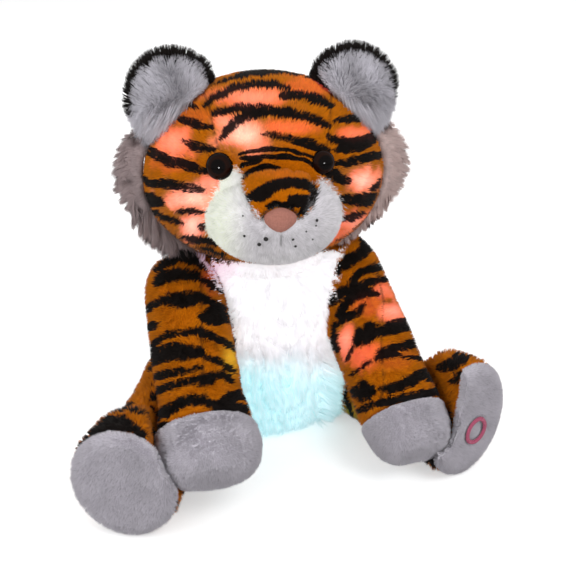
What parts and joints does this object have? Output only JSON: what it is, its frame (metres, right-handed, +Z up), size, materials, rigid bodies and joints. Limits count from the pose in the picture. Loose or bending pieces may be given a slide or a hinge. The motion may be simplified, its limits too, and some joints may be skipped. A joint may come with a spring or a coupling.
{
  "type": "plush night light",
  "caption": "Seated plush tiger night light with inner lamps, a press switch in one foot and a flapped battery pocket at the back.",
  "frame": {"origin": "on the floor, at the middle of the torso's flat seat", "axes": "+Z up, the tiger looks along -Y, +X is the tiger's left"},
  "size_m": [0.3052, 0.2666, 0.2846],
  "materials": {
    "orange_plush": "short-pile plush, printed with dark tiger stripes",
    "white_plush": "white plush, long on the ruffs and ear linings",
    "black_plush": "black plush",
    "pink_velour": "short velour",
    "rose_thread": "embroidery thread",
    "tape": "woven hook and loop tape",
    "eye_plastic": "polished",
    "dark_plastic": "moulded",
    "clear_plastic": "clear moulded",
    "board": "glass-fibre circuit board",
    "wire": "vinyl sleeve",
    "cell": "plain sleeve"
  },
  "bodies": {
    "trunk": {"torso": "orange_plush", "belly_panel": "white_plush", "pocket_loop_tape": "tape", "battery_box": "dark_plastic", "battery_cell_1": "cell", "battery_cell_2": "cell", "battery_cell_3": "cell", "battery_lead": "wire", "control_board": "board", "torso_harness": "wire", "chest_lamp_board": "board", "chest_lamp_lens": "clear_plastic", "belly_lamp_board": "board", "belly_lamp_lens": "clear_plastic"},
    "head": {"head": "orange_plush", "muzzle": "white_plush", "nose_bridge": "orange_plush", "nose_pad": "pink_velour", "head_harness": "wire", "left_eye": "eye_plastic", "left_eye_washer": "clear_plastic", "left_ear_back": "black_plush", "left_ear_lining": "white_plush", "left_ruff": "white_plush", "right_eye": "eye_plastic", "right_eye_washer": "clear_plastic", "right_ear_back": "black_plush", "right_ear_lining": "white_plush", "right_ruff": "white_plush", "brow_lamp_board": "board", "brow_lamp_lens": "clear_plastic", "left_cheek_lamp_board": "board", "left_cheek_lamp_lens": "clear_plastic", "right_cheek_lamp_board": "board", "right_cheek_lamp_lens": "clear_plastic"},
    "left_arm": {"left_arm": "orange_plush", "left_paw": "white_plush", "left_arm_harness": "wire", "left_arm_lamp_board": "board", "left_arm_lamp_lens": "clear_plastic"},
    "right_arm": {"right_arm": "orange_plush", "right_paw": "white_plush"},
    "left_leg": {"left_leg": "orange_plush", "left_sole": "white_plush", "left_sole_ring": "rose_thread", "left_leg_harness": "wire", "foot_switch_housing": "dark_plastic"},
    "foot_button": {"foot_switch_plunger": "clear_plastic"},
    "right_leg": {"right_leg": "orange_plush", "right_sole": "white_plush"},
    "tail": {"tail": "orange_plush", "tail_tip": "black_plush"},
    "flap": {"pocket_flap": "orange_plush", "flap_hook_tape": "tape"},
    "battery_cover": {"battery_cover": "dark_plastic"}
  },
  "joints": [
    {"name": "head_turn", "type": "hinge", "parent": "trunk", "child": "head", "pos_m": [0, -0.012, 0.15], "axis": [0, 0, 1], "range_deg": [-20, 20], "stiffness_Nm_per_rad": 0.15},
    {"name": "left_arm_swing", "type": "hinge", "parent": "trunk", "child": "left_arm", "pos_m": [0.062, -0.012, 0.116], "axis": [-1, 0, 0], "range_deg": [0, 30], "stiffness_Nm_per_rad": 0.06},
    {"name": "right_arm_swing", "type": "hinge", "parent": "trunk", "child": "right_arm", "pos_m": [-0.062, -0.012, 0.116], "axis": [-1, 0, 0], "range_deg": [0, 30], "stiffness_Nm_per_rad": 0.06},
    {"name": "left_leg_splay", "type": "hinge", "parent": "trunk", "child": "left_leg", "pos_m": [0.062, -0.008, 0.0334], "axis": [0, 0, 1], "range_deg": [0, 12], "stiffness_Nm_per_rad": 0.3},
    {"name": "right_leg_splay", "type": "hinge", "parent": "trunk", "child": "right_leg", "pos_m": [-0.062, -0.008, 0.0334], "axis": [0, 0, -1], "range_deg": [0, 12], "stiffness_Nm_per_rad": 0.3},
    {"name": "tail_swing", "type": "hinge", "parent": "trunk", "child": "tail", "pos_m": [0, 0.05, 0.0159], "axis": [0, 0, 1], "range_deg": [-20, 20], "stiffness_Nm_per_rad": 0.03},
    {"name": "foot_button_press", "type": "slide", "parent": "left_leg", "child": "foot_button", "axis": [-0.342, 0.9397, 0], "range_m": [0, 0.0015], "stiffness_N_per_m": 400},
    {"name": "flap_hinge", "type": "hinge", "parent": "trunk", "child": "flap", "pos_m": [0, 0.0445, 0.1058], "axis": [1, 0, 0], "range_deg": [0, 95]},
    {"name": "battery_cover_slide", "type": "slide", "parent": "trunk", "child": "battery_cover", "axis": [0, 0, 1], "range_m": [0, 0.007]}
  ]
}
